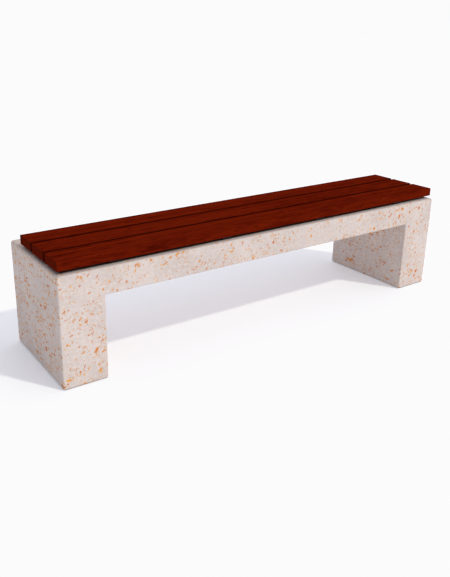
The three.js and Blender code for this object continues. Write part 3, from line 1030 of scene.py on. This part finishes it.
def bar_pad(bar, material):
    """The pad bulges a little at its edges, where the bar presses it."""
    low, high = node_box(f"bar_pad_{bar}")
    outline = outline_points(rectangle(low.x, low.z, high.x, high.z, PAD_ROUND), BAR_GRID, PAD_ROUND_STEPS)
    stops = stations(low.y, high.y, PAD_ROUND, BAR_GRID, PAD_ROUND_STEPS)
    bm = swept(outline, stops, lambda a, b, position: (a, position, b))
    middle = (low + high) / 2
    half = (high - low) / 2
    for vert in bm.verts:
        waist = 1 - ((vert.co.z - middle.z) / half.z) ** 2
        ripple = 1 - PAD_RIPPLE + PAD_RIPPLE * noise.noise(vert.co * PAD_RIPPLE_WAVE)
        for axis in (0, 1):
            aside = vert.co[axis] - middle[axis]
            if abs(aside) > half[axis] - PAD_EDGE:
                vert.co[axis] += math.copysign(PAD_BULGE * waist * ripple, aside)
    piece = to_object(bm, f"bar_pad_{bar}_rubber", material)
    weight_normals(piece)
    declare(piece, f"bar_pad_{bar}")


# ------------------------------------------------------------------- fasteners


def hexagon(limit):
    """A radius function for a hexagonal head, cut back to limit where that is smaller."""

    def radius(angle, _height):
        slice_angle = angle % (math.pi / 3) - math.pi / 6
        return min(BOLT_HEAD_APOTHEM / math.cos(slice_angle), limit)

    return radius


def foot_of(node):
    """(the middle of the node's lowest face, the node's height)."""
    low, high = node_box(node)
    return Vector(((low.x + high.x) / 2, (low.y + high.y) / 2, low.z)), high.z - low.z


def bolt(bar, row, material):
    node = f"bolt_{bar}_{row}"
    centre, length = foot_of(node)
    head = BOLT_HEAD_HEIGHT
    start = length - BOLT_THREAD_START
    profile = [
        (0, BOLT_DISH_DEPTH), (BOLT_DISH_RADIUS, BOLT_DISH_DEPTH), (BOLT_DISH_RIM, 0.0),
        (BOLT_FACE_RADIUS, 0.0), (hexagon(BOLT_FACE_EDGE), BOLT_FACE_ROUND),
        (hexagon(BOLT_HEAD_REACH), BOLT_HEAD_CHAMFER), (hexagon(BOLT_HEAD_REACH), head - BOLT_BEARING_ROUND),
        (hexagon(BOLT_BEARING_RADIUS), head), (BOLT_NECK_RADIUS, head),
        (BOLT_RADIUS, head + BOLT_NECK_ROUND), (BOLT_RADIUS, start - BOLT_THREAD_RUNOUT),
    ]
    thread = thread_radius(BOLT_THREAD_ROOT, BOLT_RADIUS, BOLT_THREAD_PITCH)
    for k in range(BOLT_THREAD_RINGS):
        profile.append((thread, start + k * BOLT_THREAD_LENGTH / (BOLT_THREAD_RINGS - 1)))
    profile += [(BOLT_TIP_RADIUS, length), (0, length)]
    piece = turned(f"{node}_steel", profile, BOLT_SIDES, centre, material, STEEL_SMOOTH_ANGLE)
    declare(piece, node)


def washer(bar, row, material):
    node = f"washer_{bar}_{row}"
    low, high = node_box(node)
    centre = Vector(((low.x + high.x) / 2, (low.y + high.y) / 2, 0))
    outer = (high.x - low.x) / 2
    inner = BOLT_RADIUS + WASHER_CLEARANCE
    section = [
        (inner, low.z), (outer - WASHER_ROUND, low.z), (outer, low.z + WASHER_ROUND),
        (outer, high.z - WASHER_ROUND), (outer - WASHER_ROUND, high.z), (inner, high.z),
    ]
    bm = bmesh.new()
    rings = []
    for k in range(WASHER_SIDES):
        angle = 2 * math.pi * k / WASHER_SIDES
        spoke = Vector((math.cos(angle), math.sin(angle), 0))
        rings.append([bm.verts.new(centre + spoke * reach + Vector((0, 0, z))) for reach, z in section])
    join_rings(bm, [*rings, rings[0]])
    bmesh.ops.recalc_face_normals(bm, faces=bm.faces)
    piece = to_object(bm, f"{node}_steel", material, STEEL_SMOOTH_ANGLE)
    declare(piece, node)


def screw_socket(angle, _height):
    """The radius of the lobed driver recess."""
    return SOCKET_RADIUS + SOCKET_LOBE * math.cos(SOCKET_LOBES * angle)


def screw(node, material):
    centre, length = foot_of(node)
    profile = [
        (0, SOCKET_DEPTH + SOCKET_ROUND), (screw_socket, SOCKET_DEPTH), (screw_socket, SOCKET_ROUND),
        (SOCKET_RIM, 0.0), (SCREW_HEAD_RADIUS - SCREW_HEAD_ROUND, 0.0), (SCREW_HEAD_RADIUS, SCREW_HEAD_RIM),
        (SCREW_NECK_RADIUS, SCREW_HEAD_HEIGHT), (SCREW_SHANK_RADIUS, SCREW_SHANK_END),
    ]
    step = (length - SCREW_THREAD_START - SCREW_TIP) / (SCREW_THREAD_RINGS - 1)
    for k in range(SCREW_THREAD_RINGS):
        height = SCREW_THREAD_START + k * step
        taper = min(1.0, (length - height) / SCREW_POINT_LENGTH)
        thread = thread_radius(SCREW_THREAD_ROOT * taper, SCREW_RADIUS * taper, SCREW_THREAD_PITCH)
        profile.append((thread, height))
    profile.append((0, length))
    piece = turned(f"{node}_steel", profile, SCREW_SIDES, centre, material, STEEL_SMOOTH_ANGLE)
    declare(piece, node)


def spacer(number, material):
    node = f"rebar_spacer_{number}"
    low, high = node_box(node)
    centre, tall = foot_of(node)
    reach = (high.x - low.x) / 2
    inner, middle, outer = (reach - inset for inset in SPACER_GROOVE)
    profile = [
        (0, SPACER_GROOVE_DEPTH), (SPACER_DIMPLE_RADIUS, SPACER_GROOVE_DEPTH),
        (SPACER_DIMPLE_RIM, SPACER_INSET), (inner, SPACER_INSET), (middle, SPACER_GROOVE_DEPTH),
        (outer, SPACER_INSET), (reach - SPACER_FOOT_ROUND, SPACER_INSET), (reach, SPACER_FOOT_EDGE),
        (reach * SPACER_NECK_SHARE, tall - SPACER_NECK_DROP), (reach * SPACER_TOP_SHARE, tall), (0, tall),
    ]
    piece = turned(f"{node}_moulded", profile, SPACER_SIDES, centre, material)
    declare(piece, node)


# ------------------------------------------------ floor, light, camera, tones


def add_floor():
    g = Graph("pale_floor")
    shades = [tuple(level * tint for level in FLOOR_SHADE) + (1,) for tint in FLOOR_TINTS]
    g.set(
        Base_Color=g.mix(g.noise(scale=0.8, detail=2), *shades),
        Roughness=0.95,
        Specular_IOR_Level=0.0,
        Emission_Color=FLOOR_GLOW_COLOUR,
        Emission_Strength=FLOOR_GLOW,
    )
    bm = bmesh.new()
    bmesh.ops.create_grid(bm, x_segments=FLOOR_CELLS, y_segments=FLOOR_CELLS, size=FLOOR_REACH)
    floor = to_object(bm, "floor", g.material)


def add_sky():
    """A soft sky, dimmer on the left and overhead, that the camera sees as a plain backdrop."""
    world = bpy.data.worlds.new("studio")
    bpy.context.scene.world = world
    world.use_nodes = True
    nodes = world.node_tree.nodes
    links = world.node_tree.links
    sky = nodes["Background"]
    sky.inputs["Color"].default_value = SKY_COLOUR
    direction = nodes.new("ShaderNodeSeparateXYZ")
    links.new(nodes.new("ShaderNodeTexCoord").outputs["Generated"], direction.inputs[0])
    across = nodes.new("ShaderNodeMapRange")
    across.interpolation_type = "SMOOTHSTEP"
    names = ("From Min", "From Max", "To Min", "To Max")
    for name, value in zip(names, (*SKY_CHANGE, SKY_LEFT, SKY_RIGHT)):
        across.inputs[name].default_value = value
    links.new(direction.outputs["X"], across.inputs["Value"])
    level = nodes.new("ShaderNodeMath")
    level.operation = "MULTIPLY_ADD"
    level.inputs[1].default_value = -SKY_ZENITH_DROP
    links.new(direction.outputs["Z"], level.inputs[0])
    links.new(across.outputs["Result"], level.inputs[2])
    links.new(level.outputs[0], sky.inputs["Strength"])
    backdrop = nodes.new("ShaderNodeBackground")
    backdrop.inputs["Color"].default_value = BACKDROP_COLOUR
    seen = nodes.new("ShaderNodeMixShader")
    links.new(nodes.new("ShaderNodeLightPath").outputs["Is Camera Ray"], seen.inputs[0])
    links.new(sky.outputs[0], seen.inputs[1])
    links.new(backdrop.outputs[0], seen.inputs[2])
    links.new(seen.outputs[0], nodes["World Output"].inputs["Surface"])


def add_sun():
    sun_data = bpy.data.lights.new("sun", "SUN")
    sun_data.energy = SUN_STRENGTH
    sun_data.color = SUN_COLOUR
    sun_data.angle = math.radians(SUN_WIDTH)
    sun = bpy.data.objects.new("sun", sun_data)
    bpy.context.scene.collection.objects.link(sun)
    azimuth, elevation = math.radians(SUN_AZIMUTH), math.radians(SUN_ELEVATION)
    flat = math.cos(elevation)
    towards = Vector((math.sin(azimuth) * flat, -math.cos(azimuth) * flat, math.sin(elevation)))
    sun.rotation_euler = towards.to_track_quat("Z", "Y").to_euler()


def add_camera():
    data = bpy.data.cameras.new("camera")
    data.lens = CAMERA_LENS
    data.shift_x, data.shift_y = CAMERA_SHIFT
    data.clip_end = CAMERA_CLIP_END
    camera = bpy.data.objects.new("camera", data)
    bpy.context.scene.collection.objects.link(camera)
    azimuth, elevation, roll = (math.radians(a) for a in (CAMERA_AZIMUTH, CAMERA_ELEVATION, CAMERA_ROLL))
    flat = math.cos(elevation)
    forward = Vector((-math.sin(azimuth) * flat, math.cos(azimuth) * flat, -math.sin(elevation)))
    level = Vector((math.cos(azimuth), math.sin(azimuth), 0))
    upright = level.cross(forward)
    right = level * math.cos(roll) + upright * math.sin(roll)
    up = upright * math.cos(roll) - level * math.sin(roll)
    turn = Matrix((right, up, -forward)).transposed()
    camera.matrix_world = Matrix.Translation(CAMERA_PLACE) @ turn.to_4x4()
    bpy.context.scene.camera = camera


def set_tones():
    """Plain display tones, with a soft shoulder so that the lit floor stays just under white."""
    view = bpy.context.scene.view_settings
    view.view_transform = "Standard"
    view.use_curve_mapping = True
    curve = view.curve_mapping.curves[COMBINED_CURVE]
    curve.points[0].location = (0, 0)
    curve.points[1].location = (1, TONE_WHITE)
    knee = curve.points.new(TONE_KNEE, TONE_KNEE)
    for point in (curve.points[0], knee, curve.points[-1]):
        point.handle_type = "VECTOR"
    view.curve_mapping.extend = "HORIZONTAL"
    view.curve_mapping.update()


# -------------------------------------------------------------------- assembly


def finish_cage():
    """The reinforcement cage keeps its CAD mesh and gets a rusty finish."""
    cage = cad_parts["rebar_cage"]
    cage.data.materials.clear()
    cage.data.materials.append(rust_material())


def add_slat_supports():
    """Each cross bar with its pad, bolts, washers and screws."""
    coated = coated_steel_material()
    rubber = rubber_material()
    bolt_steel = steel_material("stainless_bolt", STAINLESS_BOLT, BOLT_TURNING)
    screw_steel = steel_material("stainless_screw", STAINLESS_SCREW, SCREW_TURNING)
    for bar in BARS:
        cross_bar(bar, coated)
        bar_pad(bar, rubber)
        for row in ROWS:
            bolt(bar, row, bolt_steel)
            washer(bar, row, bolt_steel)
        for name in SLATS:
            for side in SIDES:
                screw(f"screw_{bar}_{name}_{side}", screw_steel)


def build():
    set_tones()
    add_camera()
    add_floor()
    add_sky()
    add_sun()

    concrete_body(concrete_material())
    for seed, name in enumerate(SLATS, start=1):
        slat(name, seed)
    add_slat_supports()
    plastic = plastic_material()
    for number in SPACERS:
        spacer(number, plastic)
    finish_cage()


build()
